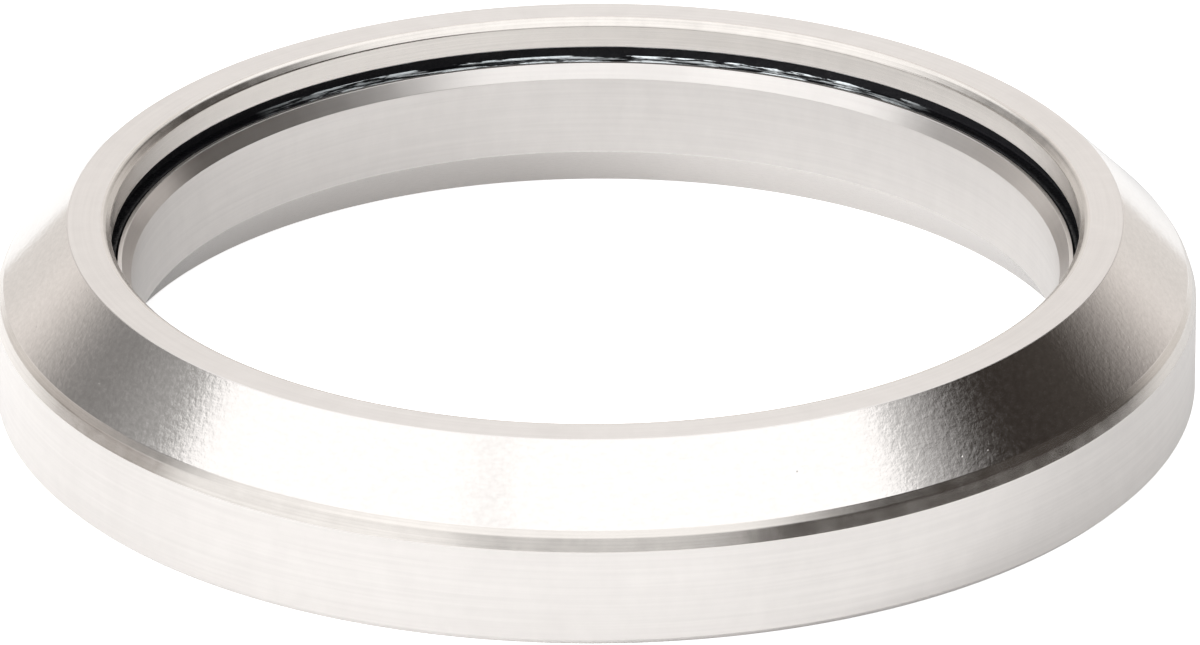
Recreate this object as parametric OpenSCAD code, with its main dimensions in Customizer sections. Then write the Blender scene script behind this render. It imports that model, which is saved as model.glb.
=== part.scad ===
// Sealed angular-contact headset bearing for the lower end of a 1-1/2 inch steerer tube.
// Millimetres, +Z up, the axis on Z, the resting faces of both rings at z = 0.
// The outer ring's 45 degree seat points up and out, the inner ring's 36 degree seat points down and in.
// Pieces are stacked outwards from the bore and upwards from the resting face.
// All ring sections are turned about Z: points are written as [radius, height].

/* [Envelope] */
// Bore of the inner ring
bore_d = 40; // [36:0.1:44]
// Radial thickness of the whole bearing, from the bore to the band
section_w = 5.9; // [5.4:0.05:6.5]
// Height of the outer ring, from its resting face to its ground top face
height = 8; // [7.2:0.1:9]

/* [Balls and races] */
// Diameter of a ball, 5/32 inch
ball_d = 3.969; // [3.7:0.001:4.3]
// Number of balls
ball_count = 28; // [20:1:29]
// Wall of the inner ring between the bore and its race, beside the balls
inner_wall = 0.76; // [0.7:0.01:0.85]
// Thickness of the inner ring's flange under its race
flange_t = 1.71; // [1.55:0.01:1.85]
// Angle of the line through the contacts, measured from the horizontal
contact_angle = 45; // [40:1:50]
// How much larger the radius of a race's groove is than a ball's
race_extra = 0.1; // [0.08:0.01:0.12]
// Play between a ball and each race
race_gap = 0.04; // [0.03:0.01:0.06]
// Length of race left beyond the end of each groove
race_rim = 0.02; // [0.01:0.01:0.04]
// How far the outer race wraps down past the balls' centres, in degrees
outer_race_wrap = 15; // [12:1:18]
// How far the inner race wraps up past the balls' centres, in degrees
inner_race_wrap = 8; // [6:1:12]
// How far the flange reaches out past the bottom of the balls, in degrees
flange_wrap = 14; // [11:1:16]

/* [Outer ring] */
// Angle between the axis and the outer seat
outer_seat_angle = 45; // [42:1:49]
// Radial width of the outer seat
outer_seat_w = 2.82; // [2.6:0.01:3.1]
// Radial width of the turned relief between the seat and the band
relief_w = 0.38; // [0.3:0.01:0.5]
// Height of that relief
relief_h = 0.84; // [0.6:0.01:1]
// How far the knee between the relief's two facets stands out from the seat's foot
knee_w = 0.21; // [0.15:0.01:0.25]
// How far that knee lies below the seat's foot
knee_h = 0.31; // [0.25:0.01:0.4]
// How far the lip's bore stands out from the inner ring's bore
lip_overhang = 0.85; // [0.76:0.01:1]
// Rounding of the lip's top edge
lip_round = 0.3; // [0.15:0.05:0.4]
// Bevel on the outside edge of the resting face
foot_bevel = 0.3; // [0.1:0.05:0.4]
// Bevel on the small edges that the grinder leaves
edge_break = 0.06; // [0.03:0.01:0.08]

/* [Inner ring] */
// Angle between the axis and the inner seat
inner_seat_angle = 36; // [33:1:40]
// Height of the inner seat
inner_seat_h = 1.95; // [1.7:0.05:2.15]
// Height of the bevel at the top of the bore
crown_h = 0.6; // [0.4:0.05:0.7]
// Width of the flat left between that bevel and the seal land
crown_flat = 0.09; // [0.05:0.01:0.15]
// Height of the ground land that the upper seal's bead runs on
seal_land_h = 0.62; // [0.5:0.01:0.7]
// How far that land is turned down from the shoulder beside the balls
seal_land_step = 0.18; // [0.1:0.01:0.22]

/* [Ball cage] */
// Wall thickness of the cage
cage_t = 1.1; // [0.9:0.05:1.2]
// Play between a ball and its pocket
pocket_gap = 0.05; // [0.04:0.01:0.08]
// Distance from the cage to the ring walls, the outer race's end and the lower seal
cage_gap = 0.2; // [0.12:0.01:0.25]
// Rounding of the two rims of the cage
rim_round = 0.15; // [0.05:0.05:0.2]

/* [Seals] */
// Height of the shoulder between the outer race and the upper seal's seat
upper_shoulder_h = 0.2; // [0.1:0.01:0.3]
// Depth of the upper seal's seat behind the lip
upper_seat_depth = 0.9; // [0.8:0.05:1]
// Height of the rim of the upper seal
upper_rim_h = 0.9; // [0.7:0.05:1]
// Height of the upper seal's web above the foot of its rim
web_rise = 0.18; // [0.16:0.01:0.25]
// How far the lower seal's seat is cut back from the counterbore
lower_seat_step = 0.19; // [0.12:0.01:0.25]
// Height of the rim of the lower seal
lower_rim_h = 1.1; // [0.9:0.05:1.2]
// Height of the bead that holds the lower seal in
bead_h = 0.35; // [0.25:0.05:0.4]
// How far that bead stands in from the seat
bead_step = 0.1; // [0.05:0.01:0.12]
// Width of the thick rims of both seals
rim_w = 0.42; // [0.35:0.01:0.5]
// Draft of a rim's inner wall, from its edge to the web
rim_draft = 0.1; // [0.05:0.01:0.15]
// Thickness of the thin web of both seals
web_t = 0.22; // [0.15:0.01:0.26]
// Radius of the rounded bead that wipes the inner ring
wiper_r = 0.14; // [0.13:0.01:0.18]
// Running clearance between that bead and the inner ring
wiper_gap = 0.04; // [0.03:0.01:0.08]
// How far the upper seal's bead lies below the inner ring's top edge
wiper_drop = 0.03; // [0.01:0.01:0.1]

/* [Hidden] */
$fn = 96;
bore_r = bore_d / 2;
outer_r = bore_r + section_w;
ball_r = ball_d / 2;

// Both races are circles whose centres lie on the contact line, on the far side of the ball's centre
contact = [cos(contact_angle), sin(contact_angle)];
race_r = ball_r + race_extra;
race_shift = race_extra - race_gap;
inner_race = [bore_r + inner_wall + race_r, flange_t + race_r];
ball_centre = inner_race - race_shift * contact;
outer_race = ball_centre - race_shift * contact;
pitch_r = ball_centre[0];
ball_z = ball_centre[1];

// Each race ends on a circle a little larger than its groove, so that a crisp rim is left there
rim_r = race_r + race_rim;
counterbore_r = outer_race[0] + rim_r;
outer_race_low_z = outer_race[1] - rim_r * sin(outer_race_wrap);
shoulder_r = bore_r + inner_wall + race_rim / 2;
inner_race_top_z = inner_race[1] + rim_r * sin(inner_race_wrap);
flange_r = inner_race[0] + rim_r * sin(flange_wrap);
flange_top_z = inner_race[1] - rim_r * cos(flange_wrap);

// Upper seal: its seat stands on a shoulder above the outer race, and the lip takes the height that is left
lip_r = bore_r + lip_overhang;
upper_seat_r = lip_r + upper_seat_depth;
outer_race_end_z = outer_race[1] + sqrt(pow(rim_r, 2) - pow(upper_seat_r - outer_race[0], 2));
upper_seat_low = outer_race_end_z + upper_shoulder_h;
upper_seat_top = upper_seat_low + upper_rim_h;

// Lower seal: its seat is a groove behind a small bead at the foot of the outer ring
lower_seat_r = counterbore_r + lower_seat_step;
lower_seat_top = bead_h + lower_rim_h;
bead_r = lower_seat_r - bead_step;

// Wiping beads of the two seals, and the inner ring's top edge just above the upper one
seal_land_r = shoulder_r - seal_land_step;
upper_bead = [seal_land_r + wiper_gap + wiper_r, upper_seat_low + web_rise];
lower_bead = [flange_r + wiper_gap + wiper_r, (bead_h + lower_seat_top) / 2];
inner_h = upper_bead[1] + wiper_r + wiper_drop;
seal_land_z = inner_h - seal_land_h;
inner_seat_w = inner_seat_h * tan(inner_seat_angle);

// Outside of the outer ring, from the top face down to the band
seat_foot_r = outer_r - relief_w;
top_face_r = seat_foot_r - outer_seat_w;
seat_foot_z = height - outer_seat_w / tan(outer_seat_angle);
band_h = seat_foot_z - relief_h;

// The cage is a slanted bar turned about the axis, kept clear of both rings and both seals
cage_in_r = shoulder_r + cage_gap;
cage_out_r = counterbore_r - cage_gap;
cage_top_z = outer_race_end_z - cage_gap;
cage_low_z = max(lower_seat_top, flange_top_z) + cage_gap;
cage_bar_l = 3 * ball_d;
pocket_r = ball_r + pocket_gap;

// Balls are numbered from 01, anticlockwise from the first one past the X axis
function ball_name(i) = str("ball_", i < 9 ? "0" : "", i + 1);
function ball_angle(i) = (i + 0.5) * 360 / ball_count;

// Carries its children to the centre of ball i
module at_ball(i) {
    rotate(ball_angle(i)) translate([pitch_r, 0, ball_z]) children();
}

module outer_section() {
    difference() {
        union() {
            polygon([
                [bead_r + edge_break, 0],
                [outer_r - foot_bevel, 0],
                [outer_r, foot_bevel],
                [outer_r, band_h],
                [seat_foot_r + knee_w, seat_foot_z - knee_h],
                [seat_foot_r, seat_foot_z],
                [top_face_r, height],
                [lip_r + lip_round, height],
                [lip_r, height - lip_round],
                [lip_r, upper_seat_top + edge_break],
                [lip_r + edge_break, upper_seat_top],
                [upper_seat_r, upper_seat_top],
                [upper_seat_r, outer_race_end_z],
                [counterbore_r, outer_race_low_z],
                [counterbore_r, lower_seat_top],
                [lower_seat_r, lower_seat_top],
                [lower_seat_r, bead_h],
                [bead_r, bead_h - edge_break],
                [bead_r, edge_break]
            ]);
            translate([lip_r + lip_round, height - lip_round]) circle(r = lip_round);
        }
        translate(outer_race) circle(r = race_r);
    }
}

module inner_section() {
    difference() {
        polygon([
            [bore_r + inner_seat_w, 0],
            [flange_r - edge_break, 0],
            [flange_r, edge_break],
            [flange_r, flange_top_z],
            [shoulder_r, inner_race_top_z],
            [shoulder_r, seal_land_z],
            [seal_land_r, seal_land_z],
            [seal_land_r, inner_h],
            [seal_land_r - crown_flat, inner_h],
            [bore_r, inner_h - crown_h],
            [bore_r, inner_seat_h]
        ]);
        translate(inner_race) circle(r = race_r);
    }
}

// A rectangle from one corner to the other with its four corners rounded
module rounded_box(low, high, r) {
    size = high - low;
    translate(low + [r, 0]) square(size - [2 * r, 0]);
    translate(low + [0, r]) square(size - [0, 2 * r]);
    for (x = [low[0] + r, high[0] - r], y = [low[1] + r, high[1] - r])
        translate([x, y]) circle(r = r);
}

// The bar crosses the contact line at the balls' centres and is trimmed upright and level at its rims
module cage_section() {
    intersection() {
        translate(ball_centre) rotate(contact_angle) square([cage_t, cage_bar_l], center = true);
        rounded_box([cage_in_r, cage_low_z], [cage_out_r, cage_top_z], rim_round);
    }
}

// Thick rim in the outer ring's seat, thin web, and a round bead that wipes the inner ring
module seal_section(seat_r, z_low, z_high, bead) {
    web_top = bead[1] + web_t / 2;
    web_low = bead[1] - web_t / 2;
    rim_in = seat_r - rim_w;
    polygon([
        [seat_r, z_high],
        [rim_in, z_high],
        [rim_in - rim_draft, web_top],
        [bead[0], web_top],
        [bead[0], web_low],
        [rim_in - rim_draft, web_low],
        [rim_in, z_low],
        [seat_r, z_low]
    ]);
    translate(bead) circle(r = wiper_r);
}

module outer_ring() {
    color("Gainsboro") rotate_extrude() outer_section();
}

module inner_ring() {
    color("LightGray") rotate_extrude() inner_section();
}

module ball_cage() {
    color("Cornsilk") difference() {
        rotate_extrude() cage_section();
        for (i = [0:ball_count - 1])
            at_ball(i) sphere(r = pocket_r);
    }
}

module upper_seal() {
    color("Black") rotate_extrude() seal_section(upper_seat_r, upper_seat_low, upper_seat_top, upper_bead);
}

module lower_seal() {
    color("Black") rotate_extrude() seal_section(lower_seat_r, bead_h, lower_seat_top, lower_bead);
}

module ball(i) {
    color("Silver") at_ball(i) sphere(r = ball_r);
}

outer_ring();
inner_ring();
ball_cage();
upper_seal();
lower_seal();
for (i = [0:ball_count - 1])
    ball(i);
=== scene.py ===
import math

import bpy
import numpy as np
from mathutils import Euler, Matrix, Vector


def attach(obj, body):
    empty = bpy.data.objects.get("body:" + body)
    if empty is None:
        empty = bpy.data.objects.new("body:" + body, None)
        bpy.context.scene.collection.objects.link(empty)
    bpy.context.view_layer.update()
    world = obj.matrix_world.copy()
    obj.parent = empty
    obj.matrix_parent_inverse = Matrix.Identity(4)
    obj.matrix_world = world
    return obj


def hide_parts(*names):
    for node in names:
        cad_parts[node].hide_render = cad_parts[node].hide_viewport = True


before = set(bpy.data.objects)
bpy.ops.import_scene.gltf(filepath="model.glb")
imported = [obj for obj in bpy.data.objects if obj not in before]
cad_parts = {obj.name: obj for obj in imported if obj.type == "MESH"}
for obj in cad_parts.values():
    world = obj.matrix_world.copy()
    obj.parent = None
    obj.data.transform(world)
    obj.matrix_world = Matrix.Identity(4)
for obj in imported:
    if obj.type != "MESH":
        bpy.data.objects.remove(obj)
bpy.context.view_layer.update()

# Camera. A long lens a little over half a metre away and 24 degrees above the floor, aimed at the top
# face, as the photo was taken. The small turns put the bearing where it stands in the photo's frame.
CAMERA_HEIGHT = math.radians(24.36)
AIM = Vector((0, 0, 0.008))
DISTANCE = 0.55
FOCAL_LENGTH = 383.5
AIM_DOWN = math.radians(0.49)
AIM_RIGHT = math.radians(0.0193)
ROLL = math.radians(0.27)
toward_camera = Vector((0, -math.cos(CAMERA_HEIGHT), math.sin(CAMERA_HEIGHT)))

lens = bpy.data.cameras.new("long lens")
lens.sensor_width = 36
lens.lens = FOCAL_LENGTH
camera = bpy.data.objects.new("camera", lens)
bpy.context.scene.collection.objects.link(camera)
turn = (
    Euler((math.pi / 2 - CAMERA_HEIGHT - AIM_DOWN, 0, 0)).to_matrix()
    @ Matrix.Rotation(-AIM_RIGHT, 3, "Y")
    @ Matrix.Rotation(-ROLL, 3, "Z")
)
camera.matrix_world = Matrix.LocRotScale(AIM + DISTANCE * toward_camera, turn, None)
bpy.context.scene.camera = camera

# Outer ring. One turned ring of through-hardened bearing steel. Its top face, band, foot and race are
# ground, its 45 degree seat is tumbled, and its lip, the relief under the seat and both seal pockets are
# left as turned. Sizes are in mm.
MM = 0.001
HEIGHT = 8
BORE_R = 20
BAND_R = 25.9
FOOT_BEVEL = 0.3
RELIEF_W = 0.38
RELIEF_H = 0.84
KNEE_W = 0.21
KNEE_H = 0.31
SEAT_W = 2.82
LIP_R = BORE_R + 0.85
LIP_BEVEL_W = 0.29
LIP_BEVEL_H = 0.3
EDGE_BREAK = 0.06
seat_foot_r = BAND_R - RELIEF_W
seat_foot_z = HEIGHT - SEAT_W

# Roundings of its corners
KEEN = 0.003
SHARP = 0.02
EASED = 0.04
SOFT = 0.05
SEAT_FOOT_ROUND = 0.06
KNEE_ROUND = 0.4
LIP_TOP_ROUND = 0.3
LIP_LOW_ROUND = 0.12

# Races. Each is an arc a little wider than a 5/32 inch ball, with its centre past the ball's on the line
# of contact, so that the ball has a hair of play. The inner ring's walls place the inner race, and with it
# the outer one. Both end at corners on a circle of radius rim_r, just outside the race's own.
INNER_WALL = 0.76
FLANGE_T = 1.71
BALL_R = 3.969 / 2
CONTACT_ANGLE = math.radians(45)
RACE_EXTRA = 0.1
RACE_GAP = 0.04
RACE_RIM = 0.02
OUTER_WRAP = math.radians(15)
race_r = BALL_R + RACE_EXTRA
rim_r = race_r + RACE_RIM
inner_centre = np.array([BORE_R + INNER_WALL + race_r, FLANGE_T + race_r])
contact_line = np.array([math.cos(CONTACT_ANGLE), math.sin(CONTACT_ANGLE)])
outer_centre = inner_centre - 2 * (RACE_EXTRA - RACE_GAP) * contact_line

# Seal pockets: one under the lip, above the race, and one at the foot, below it
UPPER_SEAT_DEPTH = 0.9
UPPER_SHOULDER_H = 0.2
UPPER_SEAT_H = 0.9
LOWER_SEAT_STEP = 0.19
LOWER_SEAT_LOW = 0.35
LOWER_SEAT_H = 1.1
SNAP_BEAD = 0.1
upper_seat_r = LIP_R + UPPER_SEAT_DEPTH
race_high_z = outer_centre[1] + math.sqrt(rim_r**2 - (upper_seat_r - outer_centre[0]) ** 2)
upper_seat_low = race_high_z + UPPER_SHOULDER_H
upper_seat_top = upper_seat_low + UPPER_SEAT_H
counterbore_r = outer_centre[0] + rim_r
race_low_z = outer_centre[1] - rim_r * math.sin(OUTER_WRAP)
lower_seat_r = counterbore_r + LOWER_SEAT_STEP
lower_seat_top = LOWER_SEAT_LOW + LOWER_SEAT_H
snap_bead_r = lower_seat_r - SNAP_BEAD


def rounded(corners, steps, shoulder=0.02):
    """Closed section from corners of radius, height and rounding in mm, anticlockwise.

    Each corner becomes an arc that touches both of its sides: it starts rounding * tan(turn / 2) before
    the corner, and sweeps the corner's turn about a centre square to the first side. One more point
    stands beside each end of the arc, so that the flat next to it is shaded flat.
    Returns the points and, for each point, the number of the corner that it belongs to.
    """
    at, rounding = corners[:, :2], corners[:, 2]
    into = at - np.roll(at, 1, axis=0)
    length_in = np.hypot(*into.T)
    into /= length_in[:, None]
    out = np.roll(into, -1, axis=0)
    length_out = np.roll(length_in, -1)
    sweep = np.arctan2(into[:, 0] * out[:, 1] - into[:, 1] * out[:, 0], (into * out).sum(1))
    start = rounding * np.tan(np.abs(sweep) / 2)
    gap = np.minimum(shoulder, 0.2 * np.minimum(length_in, length_out))
    left = np.stack([-into[:, 1], into[:, 0]], 1) * np.sign(sweep)[:, None]
    centre = at - start[:, None] * into + rounding[:, None] * left
    angle = sweep[:, None] * np.linspace(0, 1, steps + 1)
    spoke = -left * rounding[:, None]
    arc = np.stack(
        [
            spoke[:, None, 0] * np.cos(angle) - spoke[:, None, 1] * np.sin(angle),
            spoke[:, None, 0] * np.sin(angle) + spoke[:, None, 1] * np.cos(angle),
        ],
        2,
    ) + centre[:, None]
    first = at - (start + gap)[:, None] * into
    last = at + (start + gap)[:, None] * out
    points = np.concatenate([first[:, None], arc, last[:, None]], 1)
    return points.reshape(-1, 2), np.repeat(np.arange(len(corners)), steps + 3)


def race(start, end, centre, count=40):
    """Arc of a race about centre, clockwise from where the line through start and end enters its circle to
    where it leaves it."""
    start, end = np.array(start), np.array(end)
    way = (end - start) / np.hypot(*(end - start))
    middle = (centre - start) @ way
    half = math.sqrt(race_r**2 - ((start + middle * way - centre) ** 2).sum())
    first = start + (middle - half) * way - centre
    last = start + (middle + half) * way - centre
    first, last = math.atan2(first[1], first[0]), math.atan2(last[1], last[0])
    angle = np.linspace(first, last - 2 * np.pi * (last > first), count)
    return centre + race_r * np.stack([np.cos(angle), np.sin(angle)], 1)


# Radius of the circle on which a finish's pattern is laid out round a ring, near the middle of the section
LAY_R = 24


def turned(name, before, groove, after, steps=5, count=480):
    """Mesh of a section turned about Z.

    The section is a loop of corners, each with its radius, height, rounding and material number, which
    also holds for the side after it. groove is an array of points that stands between two of them.
    Vertex (i, j) is section point i turned by j / count of a full turn. The lay attribute, in mm, is the
    point's angle as a place on a circle of radius LAY_R, and how far along the section it lies: a pattern
    on it has the same scale all round and no seam.
    """
    corners = np.array(before + after, float)
    section, corner = rounded(corners, steps)
    place = len(before) * (steps + 3)
    section = np.insert(section, [place] * len(groove), groove, axis=0)
    corner = np.insert(corner, [place] * len(groove), len(before) - 1)
    finishes = corners[corner, 3].astype(int)
    angle = np.linspace(0, 2 * np.pi, count, endpoint=False)
    ring = np.stack([np.cos(angle), np.sin(angle)], 1)
    points = np.empty((len(section), count, 3))
    points[..., :2] = section[:, None, :1] * ring
    points[..., 2] = section[:, None, 1]
    along = np.concatenate([[0], np.cumsum(np.hypot(*np.diff(section, axis=0).T))])
    lay = np.empty_like(points)
    lay[..., :2] = LAY_R * ring
    lay[..., 2] = along[:, None]
    i, j = np.meshgrid(np.arange(len(section)), np.arange(count), indexing="ij")
    next_i, next_j = (i + 1) % len(section), (j + 1) % count
    faces = [i * count + j, i * count + next_j, next_i * count + next_j, next_i * count + j]
    faces = np.stack(faces, -1).reshape(-1, 4)
    mesh = bpy.data.meshes.new(name)
    mesh.vertices.add(points.size // 3)
    mesh.vertices.foreach_set("co", points.ravel() * MM)
    mesh.loops.add(faces.size)
    mesh.loops.foreach_set("vertex_index", faces.ravel())
    mesh.polygons.add(len(faces))
    mesh.polygons.foreach_set("loop_start", np.arange(0, faces.size, 4))
    mesh.update(calc_edges=True)
    mesh.polygons.foreach_set("material_index", np.repeat(finishes, count))
    mesh.polygons.foreach_set("use_smooth", np.ones(len(faces), bool))
    mesh.attributes.new("lay", "FLOAT_VECTOR", "POINT").data.foreach_set("vector", lay.ravel())
    piece = bpy.data.objects.new(name, mesh)
    bpy.context.scene.collection.objects.link(piece)
    return piece


GROUND, TUMBLED, AS_TURNED = range(3)
outer_race = race((upper_seat_r, race_high_z), (counterbore_r, race_low_z), outer_centre)
outer_ring = turned(
    "ring_outer",
    [
        (snap_bead_r + EDGE_BREAK, 0, SHARP, GROUND),
        (BAND_R - FOOT_BEVEL, 0, EASED, GROUND),
        (BAND_R, FOOT_BEVEL, EASED, GROUND),
        (BAND_R, seat_foot_z - RELIEF_H, SHARP, AS_TURNED),
        (seat_foot_r + KNEE_W, seat_foot_z - KNEE_H, KNEE_ROUND, AS_TURNED),
        (seat_foot_r, seat_foot_z, SEAT_FOOT_ROUND, TUMBLED),
        (seat_foot_r - SEAT_W, HEIGHT, SOFT, GROUND),
        (LIP_R + LIP_BEVEL_W, HEIGHT, LIP_TOP_ROUND, AS_TURNED),
        (LIP_R, HEIGHT - LIP_BEVEL_H, LIP_LOW_ROUND, AS_TURNED),
        (LIP_R, upper_seat_top + EDGE_BREAK, SHARP, GROUND),
        (LIP_R + EDGE_BREAK, upper_seat_top, SHARP, AS_TURNED),
        (upper_seat_r, upper_seat_top, SOFT, AS_TURNED),
        (upper_seat_r, race_high_z, KEEN, GROUND),
        (*outer_race[0], 0, GROUND),
    ],
    outer_race[1:-1],
    [
        (*outer_race[-1], 0, GROUND),
        (counterbore_r, race_low_z, KEEN, AS_TURNED),
        (counterbore_r, lower_seat_top, SOFT, AS_TURNED),
        (lower_seat_r, lower_seat_top, SHARP, AS_TURNED),
        (lower_seat_r, LOWER_SEAT_LOW, SHARP, AS_TURNED),
        (snap_bead_r, LOWER_SEAT_LOW - EDGE_BREAK, SHARP, AS_TURNED),
        (snap_bead_r, EDGE_BREAK, SHARP, AS_TURNED),
    ],
)


def linear(colour):
    """Linear red, green, blue and alpha of an sRGB hex colour."""
    parts = np.array([int(colour[k:k + 2], 16) for k in (1, 3, 5)]) / 255
    parts = np.where(parts <= 0.04045, parts / 12.92, ((parts + 0.055) / 1.055) ** 2.4)
    return (*parts.tolist(), 1)


def add(tree, kind, inputs=None, **settings):
    """Adds a node. Settings are its own properties. inputs gives each socket a value, or the output that
    feeds it, or the node whose first output does."""
    new = tree.nodes.new(kind)
    for key, value in settings.items():
        setattr(new, key, value)
    for key, value in (inputs or {}).items():
        if isinstance(value, bpy.types.Node):
            value = value.outputs[0]
        if isinstance(value, bpy.types.NodeSocket):
            tree.links.new(value, new.inputs[key])
        else:
            new.inputs[key].default_value = value
    return new


# A Mix node has sockets of one name for numbers and for colours, so those for colours go by their places:
# the two colours that go in, and the one that comes out
FIRST, SECOND, MIXED = 6, 7, 2


def material(name, **surface):
    """New material with a Principled surface, whose sockets take the given values. Returns it, its tree and
    the surface."""
    new = bpy.data.materials.new(name)
    new.use_nodes = True
    shader = new.node_tree.nodes["Principled BSDF"]
    for key, value in surface.items():
        shader.inputs[key.replace("_", " ")].default_value = value
    return new, new.node_tree, shader


# Nicks: how many cells of their pattern go to the mm, with one nick at most in each, and a nick's radius
# over its depth
NICK_CELLS = 0.6
NICK_SHAPE = 5.5


def steel(name, colours, rough, spread, grain, grain_depth, mottle, mottle_depth, nick_r=0):
    """Bare steel, with sizes in mm.

    Grain is noise on the lay, with so many lines to the mm in each direction, and mottle is a softer noise
    of the same kind. The two together shade it between its two colours, and each is a bump of its own
    depth. Mottle also leads the roughness from the first value to the second. Spread draws what the steel
    mirrors out across the lay. Nicks are dents of radius nick_r, strewn over it.
    """
    new, tree, surface = material(name, Metallic=1, Anisotropic=spread, Anisotropic_Rotation=0.25)
    around = add(tree, "ShaderNodeTangent", direction_type="RADIAL", axis="Z")
    tree.links.new(around.outputs[0], surface.inputs["Tangent"])
    lay = add(tree, "ShaderNodeAttribute", attribute_name="lay").outputs["Vector"]
    grain = add(tree, "ShaderNodeMapping", {"Vector": lay, "Scale": grain})
    grain = add(tree, "ShaderNodeTexNoise", {"Vector": grain, "Scale": 1, "Detail": 1, "Roughness": 0.6})
    mottle = add(tree, "ShaderNodeMapping", {"Vector": lay, "Scale": mottle})
    mottle = add(tree, "ShaderNodeTexNoise", {"Vector": mottle, "Scale": 1, "Detail": 3, "Roughness": 0.6})
    shade = add(tree, "ShaderNodeMath", {0: grain, 1: mottle}, operation="ADD")
    shade = add(tree, "ShaderNodeMapRange", {"Value": shade, "From Min": 0.7, "From Max": 1.3})
    tint = {"Factor": shade, FIRST: linear(colours[0]), SECOND: linear(colours[1])}
    tint = add(tree, "ShaderNodeMix", tint, data_type="RGBA")
    tree.links.new(tint.outputs[MIXED], surface.inputs["Base Color"])
    rough = {"Value": mottle, "From Min": 0.3, "From Max": 0.7, "To Min": rough[0], "To Max": rough[1]}
    rough = add(tree, "ShaderNodeMapRange", rough)
    tree.links.new(rough.outputs[0], surface.inputs["Roughness"])
    bump = add(tree, "ShaderNodeBump", {"Height": grain, "Distance": grain_depth * MM})
    bump = add(tree, "ShaderNodeBump", {"Height": mottle, "Distance": mottle_depth * MM, "Normal": bump})
    if nick_r:
        nicks = add(tree, "ShaderNodeTexVoronoi", {"Vector": lay, "Scale": NICK_CELLS})
        nicks = add(tree, "ShaderNodeMapRange", {"Value": nicks, "From Max": nick_r * NICK_CELLS})
        depth = nick_r / NICK_SHAPE * MM
        bump = add(tree, "ShaderNodeBump", {"Height": nicks, "Distance": depth, "Normal": bump})
    tree.links.new(bump.outputs[0], surface.inputs["Normal"])
    return new


# Ground: an even satin, which draws bright edges out wide. The wheel's own lines are too fine to show, so
# they are drawn at 6 to the mm, and faintly. Roughness stays above 0.274, where the denoiser changes its
# way of working and leaves patches on a surface that crosses it.
ground = steel(
    "bearing steel, ground", colours=("#E2DEDB", "#E9E5E2"), rough=(0.28, 0.3), spread=0.8,
    grain=(0.12, 0.12, 6), grain_depth=6e-5, mottle=(0.9, 0.9, 0.6), mottle_depth=2e-4,
)
# Tumbled: the stones round off the lines and leave soft dents, about a quarter of a mm apart, and a few
# nicks. It mirrors more sharply than the other two, and light and dark run into each other in a mottle.
tumbled = steel(
    "bearing steel, tumbled", colours=("#E6E2DF", "#EFEBE8"), rough=(0.08, 0.15), spread=0.3,
    grain=(2.5, 2.5, 5), grain_depth=8e-5, mottle=(4.2, 4.2, 4.2), mottle_depth=5e-3, nick_r=0.06,
)
# As turned: the tool leaves a line at every 0.08 mm of its feed, 12 to the mm. They show as thin streaks
# round the ring, in a steel a little darker than where it is ground.
as_turned = steel(
    "bearing steel, as turned", colours=("#DAD5D0", "#E7E2DD"), rough=(0.2, 0.27), spread=0.5,
    grain=(0.08, 0.08, 12), grain_depth=8e-4, mottle=(1, 1, 1), mottle_depth=2e-3,
)
for finish in (ground, tumbled, as_turned):
    outer_ring.data.materials.append(finish)
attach(outer_ring, "outer")
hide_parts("outer_ring")

# Inner ring. Turned from the same steel: a ground bore with a tumbled 36 degree seat at its foot, a bevel
# at the top of the bore, a narrow ground land that the upper seal runs on, and a flange under the balls.
INNER_SEAT_H = 1.95
INNER_SEAT_ANGLE = math.radians(36)
INNER_WRAP = math.radians(8)
FLANGE_WRAP = math.radians(14)
CROWN_W = 0.4
CROWN_H = 0.6
CROWN_ROUND = 0.03
LAND_H = 0.62
LAND_STEP = 0.18
shoulder_r = BORE_R + INNER_WALL + RACE_RIM / 2
inner_race_high_z = inner_centre[1] + rim_r * math.sin(INNER_WRAP)
flange_r = inner_centre[0] + rim_r * math.sin(FLANGE_WRAP)
flange_top_z = inner_centre[1] - rim_r * math.cos(FLANGE_WRAP)

# The upper seal's wiping bead has its middle WEB_RISE above the seal's seat, and the ring ends WIPER_DROP
# above the bead
WIPER_R = 0.14
WIPER_DROP = 0.03
WEB_RISE = 0.18
upper_wiper_z = upper_seat_low + WEB_RISE
inner_top_z = upper_wiper_z + WIPER_R + WIPER_DROP
land_r = shoulder_r - LAND_STEP

inner_race = race((flange_r, flange_top_z), (shoulder_r, inner_race_high_z), inner_centre)
inner_ring = turned(
    "ring_inner",
    [
        (BORE_R + INNER_SEAT_H * math.tan(INNER_SEAT_ANGLE), 0, EASED, GROUND),
        (flange_r - EDGE_BREAK, 0, SHARP, GROUND),
        (flange_r, EDGE_BREAK, SHARP, GROUND),
        (flange_r, flange_top_z, KEEN, GROUND),
        (*inner_race[0], 0, GROUND),
    ],
    inner_race[1:-1],
    [
        (*inner_race[-1], 0, GROUND),
        (shoulder_r, inner_race_high_z, KEEN, AS_TURNED),
        (shoulder_r, inner_top_z - LAND_H, SHARP, AS_TURNED),
        (land_r, inner_top_z - LAND_H, SOFT, GROUND),
        (land_r, inner_top_z, SHARP, GROUND),
        (BORE_R + CROWN_W, inner_top_z, CROWN_ROUND, GROUND),
        (BORE_R, inner_top_z - CROWN_H, EASED, GROUND),
        (BORE_R, INNER_SEAT_H, SOFT, TUMBLED),
    ],
)
for finish in (ground, tumbled, as_turned):
    inner_ring.data.materials.append(finish)
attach(inner_ring, "inner")
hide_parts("inner_ring")

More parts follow.
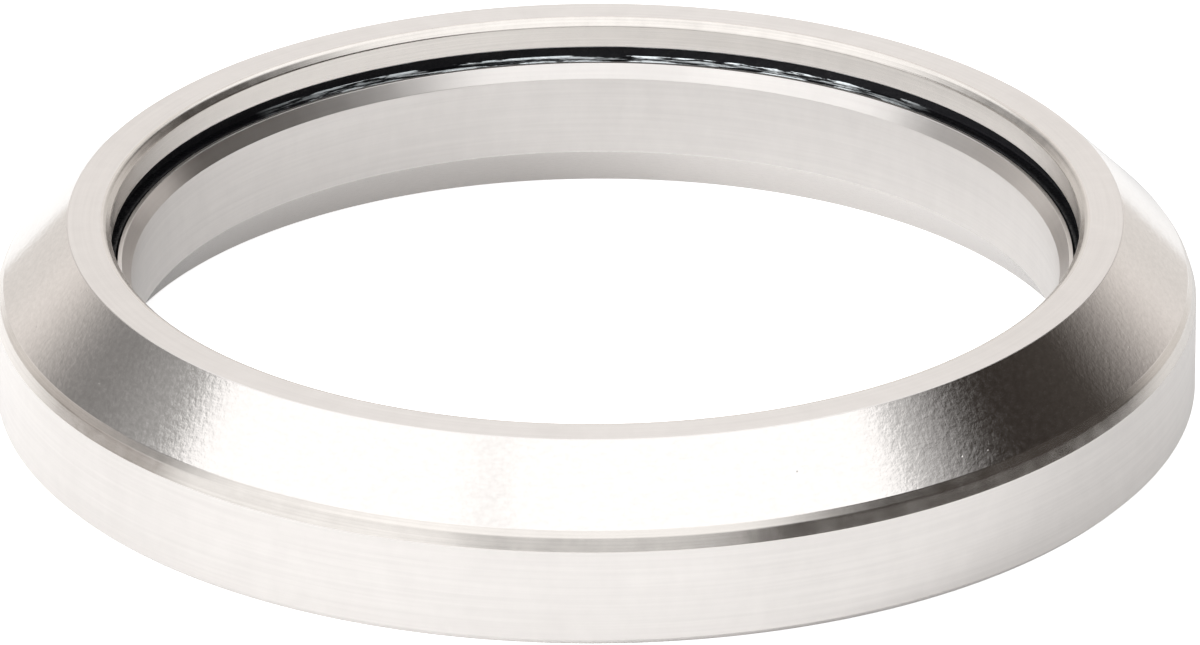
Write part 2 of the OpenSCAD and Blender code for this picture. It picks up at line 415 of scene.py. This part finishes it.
# Seals. Rings of black nitrile rubber, moulded with a thick rim, a thin web and a round wiping bead, and
# pressed into the outer ring. Bearing grease is smeared along the web and the bead at the back. Its wet coat
# mirrors the studio, and a pale bluish colour painted on it stands in for its glints.
RIM_W = 0.42
RIM_DRAFT = 0.1
RIM_ROUND = 0.03
WEB_T = 0.22
WEB_ROOT = 0.2
WIPER_GAP = 0.04
WIPER_ROUND = 0.13
WIPER_ROOT_ROUND = 0.1
# The greased finish carries grease streaks with a painted glint colour on them.
BARE, GREASED_PAINTED_GLINT = range(2)
upper_wiper_r = land_r + WIPER_GAP + WIPER_R
lower_wiper_r = flange_r + WIPER_GAP + WIPER_R
lower_wiper_z = (LOWER_SEAT_LOW + lower_seat_top) / 2


def seal(name, seat_r, low, top, wiper_r, wiper_z):
    """One seal: a rim from the radius seat_r inwards, between the heights low and top, then a web, and a
    bead of radius WIPER_R about (wiper_r, wiper_z). The corners go round the bead as an octagon, and their
    rounding makes it a circle."""
    rim_r = seat_r - RIM_W
    web_low, web_top = wiper_z - WEB_T / 2, wiper_z + WEB_T / 2
    side = WIPER_R * math.tan(math.pi / 8)
    corners = [
        (seat_r, low, RIM_ROUND, BARE),
        (seat_r, top, RIM_ROUND, BARE),
        (rim_r, top, SOFT, BARE),
        (rim_r - RIM_DRAFT, web_top, SOFT, GREASED_PAINTED_GLINT),
        (wiper_r + WEB_ROOT, web_top, SHARP, GREASED_PAINTED_GLINT),
        (wiper_r + side, wiper_z + WIPER_R, WIPER_ROOT_ROUND, GREASED_PAINTED_GLINT),
        (wiper_r - side, wiper_z + WIPER_R, WIPER_ROUND, GREASED_PAINTED_GLINT),
        (wiper_r - WIPER_R, wiper_z + side, WIPER_ROUND, GREASED_PAINTED_GLINT),
        (wiper_r - WIPER_R, wiper_z - side, WIPER_ROUND, GREASED_PAINTED_GLINT),
        (wiper_r - side, wiper_z - WIPER_R, WIPER_ROUND, GREASED_PAINTED_GLINT),
        (wiper_r + side, wiper_z - WIPER_R, WIPER_ROOT_ROUND, GREASED_PAINTED_GLINT),
        (wiper_r + WEB_ROOT, web_low, SHARP, BARE),
        (rim_r - RIM_DRAFT, web_low, SOFT, BARE),
        (rim_r, low, SOFT, BARE),
    ]
    return turned(name, corners, np.empty((0, 2)), [], count=384)


# The grease and its painted glint colour begin where the lay is 17 mm behind the axis, and are all there
# from 21 mm on
GREASE_AND_GLINT_FROM = 17
GREASE_AND_GLINT_FULL = 21


def rubber(name, grease_glint_threshold):
    """Nitrile rubber: near black and half dull. Grease lies on it in streaks 0.2 mm wide and 2 mm long,
    where their noise is above the given threshold: a clear wet coat over a cloudy, bluish white. That
    bluish white is a painted highlight, which stands in for the glints of the grease."""
    new, tree, surface = material(name, Coat_Roughness=0.1, Coat_IOR=1.48, Specular_IOR_Level=0.2)
    lay = add(tree, "ShaderNodeAttribute", attribute_name="lay").outputs["Vector"]
    streaks = add(tree, "ShaderNodeMapping", {"Vector": lay, "Scale": (0.45, 0.45, 5)})
    streaks = {"Vector": streaks, "Scale": 1, "Detail": 4, "Roughness": 0.65}
    streaks = add(tree, "ShaderNodeTexNoise", streaks)
    streaks = {"Value": streaks, "From Min": grease_glint_threshold, "From Max": grease_glint_threshold + 0.05}
    streaks = add(tree, "ShaderNodeMapRange", streaks)
    back = add(tree, "ShaderNodeSeparateXYZ", {0: lay}).outputs["Y"]
    back = {"Value": back, "From Min": GREASE_AND_GLINT_FROM, "From Max": GREASE_AND_GLINT_FULL}
    back = add(tree, "ShaderNodeMapRange", back)
    # Mask of grease and painted glint: it leads both the real wet coat and the painted glint colour.
    grease_and_glint = add(tree, "ShaderNodeMath", {0: streaks, 1: back}, operation="MULTIPLY")
    tree.links.new(grease_and_glint.outputs[0], surface.inputs["Coat Weight"])
    cloud = add(tree, "ShaderNodeTexNoise", {"Vector": lay, "Scale": 2.5, "Detail": 3, "Roughness": 0.6})
    # Painted highlight: this cloudy bluish white stands in for the glints on the grease streaks.
    tint = {"Factor": cloud, FIRST: linear("#8A9397"), SECOND: linear("#E4E8EA")}
    tint = add(tree, "ShaderNodeMix", tint, data_type="RGBA").outputs[MIXED]
    tint = {"Factor": grease_and_glint, FIRST: linear("#0D0D0F"), SECOND: tint}
    tint = add(tree, "ShaderNodeMix", tint, data_type="RGBA").outputs[MIXED]
    tree.links.new(tint, surface.inputs["Base Color"])
    rough = {"Value": cloud, "From Min": 0.4, "From Max": 0.6, "To Min": 0.6, "To Max": 0.3}
    rough = add(tree, "ShaderNodeMapRange", rough)
    tree.links.new(rough.outputs[0], surface.inputs["Roughness"])
    lumps = add(tree, "ShaderNodeTexNoise", {"Vector": lay, "Scale": 3.5, "Detail": 3, "Roughness": 0.6})
    lumps = add(tree, "ShaderNodeBump", {"Height": lumps, "Distance": 0.06 * MM})
    tree.links.new(lumps.outputs[0], surface.inputs["Normal"])
    return new


upper_seal = seal("seal_upper", upper_seat_r, upper_seat_low, upper_seat_top, upper_wiper_r, upper_wiper_z)
lower_seal = seal("seal_lower", lower_seat_r, LOWER_SEAT_LOW, lower_seat_top, lower_wiper_r, lower_wiper_z)
# Both rubbers carry grease streaks with a painted glint colour at the back. The greased one has many more.
bare = rubber("nitrile rubber", grease_glint_threshold=0.75)
greased_painted_glint = rubber("nitrile rubber, greased", grease_glint_threshold=0.49)
for piece, node in ((upper_seal, "upper_seal"), (lower_seal, "lower_seal")):
    for finish in (bare, greased_painted_glint):
        piece.data.materials.append(finish)
    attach(piece, "outer")
    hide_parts(node)

# Balls. Chrome steel, 5/32 inch, ground and then lapped between plates to a mirror. The film of grease on
# them dulls it a little, in patches about a mm wide.
chrome, tree, surface = material("chrome steel, lapped", Metallic=1)
surface.inputs["Base Color"].default_value = linear("#E6E6E6")
place = add(tree, "ShaderNodeTexCoord").outputs["Object"]
film = add(tree, "ShaderNodeTexNoise", {"Vector": place, "Scale": 0.9 / MM, "Detail": 2})
film = add(tree, "ShaderNodeMapRange", {"Value": film, "To Min": 0.03, "To Max": 0.14})
tree.links.new(film.outputs[0], surface.inputs["Roughness"])
for name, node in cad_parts.items():
    if name.startswith("ball_") and name != "ball_cage":
        node.data.materials.clear()
        node.data.materials.append(chrome)

# Cage. One moulding of nylon 66 in its natural colour, snapped over the balls. It has a satin skin from its
# mould, drawn as dimples 0.17 mm apart, which is coarser than real. It lets in a little light, and is
# cloudy in patches 4 mm wide.
nylon, tree, surface = material(
    "nylon 66, moulded", Subsurface_Weight=0.15, Subsurface_Scale=0.6 * MM, Roughness=0.42
)
place = add(tree, "ShaderNodeTexCoord").outputs["Object"]
cloud = add(tree, "ShaderNodeTexNoise", {"Vector": place, "Scale": 0.25 / MM, "Detail": 3})
tint = {"Factor": cloud, FIRST: linear("#E4DCC6"), SECOND: linear("#EFE9D8")}
tint = add(tree, "ShaderNodeMix", tint, data_type="RGBA")
tree.links.new(tint.outputs[MIXED], surface.inputs["Base Color"])
skin = add(tree, "ShaderNodeTexNoise", {"Vector": place, "Scale": 6 / MM, "Detail": 2})
skin = add(tree, "ShaderNodeBump", {"Height": skin, "Distance": 0.002 * MM})
tree.links.new(skin.outputs[0], surface.inputs["Normal"])
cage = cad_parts["ball_cage"]
cage.data.materials.clear()
cage.data.materials.append(nylon)

# Floor. A strip of white studio paper, twice as wide as the bearing. Camera rays see it lifted to white,
# and mirror rays see it lifted a little. It keeps the bearing's shadow, because the rest of its brightness
# comes from the light that falls on it. Its sizes are in metres.
LEFT = -0.055
RIGHT = 0.05
REACH = 0.6
BELOW = -0.02 * MM
PAPER = (0.62, 0.62, 0.62, 1)
SEEN_LIFT = 0.75
MIRRORED_LIFT = 0.08
sheet = bpy.data.meshes.new("paper")
edge = [(LEFT, -REACH, BELOW), (RIGHT, -REACH, BELOW), (RIGHT, REACH, BELOW), (LEFT, REACH, BELOW)]
sheet.from_pydata(edge, [], [(0, 1, 2, 3)])
floor = bpy.data.objects.new("paper", sheet)
bpy.context.scene.collection.objects.link(floor)
paper, tree, surface = material("studio paper", Roughness=0.9)
surface.inputs["Base Color"].default_value = PAPER
surface.inputs["Emission Color"].default_value = (1, 1, 1, 1)
ray = add(tree, "ShaderNodeLightPath").outputs
seen = {0: ray["Is Camera Ray"], 1: ray["Is Transmission Ray"]}
seen = add(tree, "ShaderNodeMath", seen, operation="MAXIMUM")
seen = add(tree, "ShaderNodeMath", {0: seen, 1: SEEN_LIFT}, operation="MULTIPLY")
lift = {0: ray["Is Glossy Ray"], 1: MIRRORED_LIFT, 2: seen}
lift = add(tree, "ShaderNodeMath", lift, operation="MULTIPLY_ADD")
tree.links.new(lift.outputs[0], surface.inputs["Emission Strength"])
sheet.materials.append(paper)

# Lamps. Two soft lamps, low on the left and in front, that light the paper and the rubber. The steel doesn't
# mirror them, only the studio round it.
LAMP_SIZE = 0.3
for name, place, power in (("side lamp", (-0.72, -0.25, 0.26), 11), ("front lamp", (0.1, -0.75, 0.26), 5)):
    lamp = bpy.data.lights.new(name, "AREA")
    lamp.size = LAMP_SIZE
    lamp.energy = power
    stand = bpy.data.objects.new(name, lamp)
    stand.visible_glossy = False
    stand.matrix_world = Matrix.LocRotScale(Vector(place), Vector(place).to_track_quat("Z", "Y"), None)
    bpy.context.scene.collection.objects.link(stand)

# Studio. A white tent with one big square softbox overhead, which has a seam down its middle. The tent is
# dark on the right and grey on the left, and in front, round the camera, it falls off from left to right.
# It is written by direction, as if it stood far away.
world = bpy.data.worlds.new("studio")
bpy.context.scene.world = world
world.use_nodes = True
tree = world.node_tree
direction = add(tree, "ShaderNodeTexCoord").outputs["Generated"]
direction = add(tree, "ShaderNodeSeparateXYZ", {0: direction}).outputs
x, y, z = direction["X"], direction["Y"], direction["Z"]
aside = add(tree, "ShaderNodeMath", {0: x}, operation="ABSOLUTE")

# Where the direction meets a flat ceiling one unit up
up = add(tree, "ShaderNodeMath", {0: z, 1: 0.001}, operation="MAXIMUM")
across = add(tree, "ShaderNodeMath", {0: x, 1: up}, operation="DIVIDE")
along = add(tree, "ShaderNodeMath", {0: y, 1: up}, operation="DIVIDE")

# Light levels, where 1 is white. Three numbers are its red, green and blue.
SOFTBOX = 1.3
SEAM = 1.19
TENT = (0.98, 0.955, 0.935)
TENT_SIDES = (0.95, 0.9, 0.86)
TENT_CORNERS = (0.72, 0.69, 0.66)
HORIZON = (0.8, 0.77, 0.74)
FRONT_LEFT = 1.16
FRONT = 0.7
FRONT_RIGHT = (0.11, 0.09, 0.08)
RIGHT_TOP = 0.74
RIGHT_DARK = (0.035, 0.029, 0.025)
RIGHT_LOW = (0.06, 0.052, 0.046)
LEFT_GREY = (0.45, 0.45, 0.445)
LEFT_LOW = (0.25, 0.245, 0.24)
LEFT_CORNER = (0.35, 0.32, 0.3)
BACKGROUND = 1


def within(*ramps, join="MULTIPLY"):
    """Mask from ramps. Each is a value, where it gives 0 and where it gives 1, with a smooth rise between
    the two. They are multiplied, or joined by another operation."""
    mask = None
    for value, zero, one in ramps:
        ramp = {"Value": value, "From Min": zero, "From Max": one}
        ramp = add(tree, "ShaderNodeMapRange", ramp, interpolation_type="SMOOTHSTEP")
        mask = ramp if mask is None else add(tree, "ShaderNodeMath", {0: mask, 1: ramp}, operation=join)
    return mask


def lit(under, *patches):
    """Light with patches laid over it in turn. Each patch is a mask and the light that shows where the mask
    is 1. A light is a level, three levels, or an output."""
    for mask, over in patches:
        lights = []
        for light in (under, over):
            if isinstance(light, (int, float)):
                light = (light, light, light)
            lights.append((*light, 1) if isinstance(light, tuple) else light)
        patched = {"Factor": mask, FIRST: lights[0], SECOND: lights[1]}
        under = add(tree, "ShaderNodeMix", patched, data_type="RGBA").outputs[MIXED]
    return under


softbox = within((across, -1.27, -1.15), (across, 0.86, 0.8), (along, -1.75, -1.45), (along, 1.1, 1))
seam = within((across, -0.37, -0.3), (across, -0.19, -0.26))
tent = lit(
    TENT,
    (within((aside, 0.15, 0.7)), TENT_SIDES),
    (within((aside, 0.15, 0.3), (aside, 0.6, 0.45)), TENT_CORNERS),
    (within((z, 0.3, 0)), HORIZON),
)
front = lit(FRONT, (within((x, 0.2, 0.95)), FRONT_RIGHT))
front = lit(FRONT_LEFT, (within((x, -0.52, -0.3)), front))

high_or_near = within((z, 0.1, 0.49), (y, 0.65, 0.4), join="MAXIMUM")
right = add(tree, "ShaderNodeMath", {0: within((x, 0.36, 0.54)), 1: high_or_near}, operation="MULTIPLY")
right_side = lit(RIGHT_DARK, (within((across, 1.2, 1.7)), RIGHT_LOW))
right_side = lit(RIGHT_TOP, (within((across, 0.78, 1.16)), right_side))

left = within((x, -0.36, -0.54), (z, 0.13, 0.43), (y, -0.2, 0.05))
left_side = lit(LEFT_LOW, (within((across, -1.75, -1.15)), LEFT_GREY))
left_corner = within((x, -0.75, -0.9), (z, 0.3, 0.1), (y, -0.2, 0))

light = lit(
    tent,
    (within((y, 0.3, -0.1)), front),
    (right, right_side),
    (left, left_side),
    (left_corner, LEFT_CORNER),
    (softbox, lit(SOFTBOX, (seam, SEAM))),
    (add(tree, "ShaderNodeLightPath").outputs["Is Camera Ray"], BACKGROUND),
)
tree.links.new(light, tree.nodes["Background"].inputs["Color"])

scene = bpy.context.scene
scene.view_settings.view_transform = "Standard"
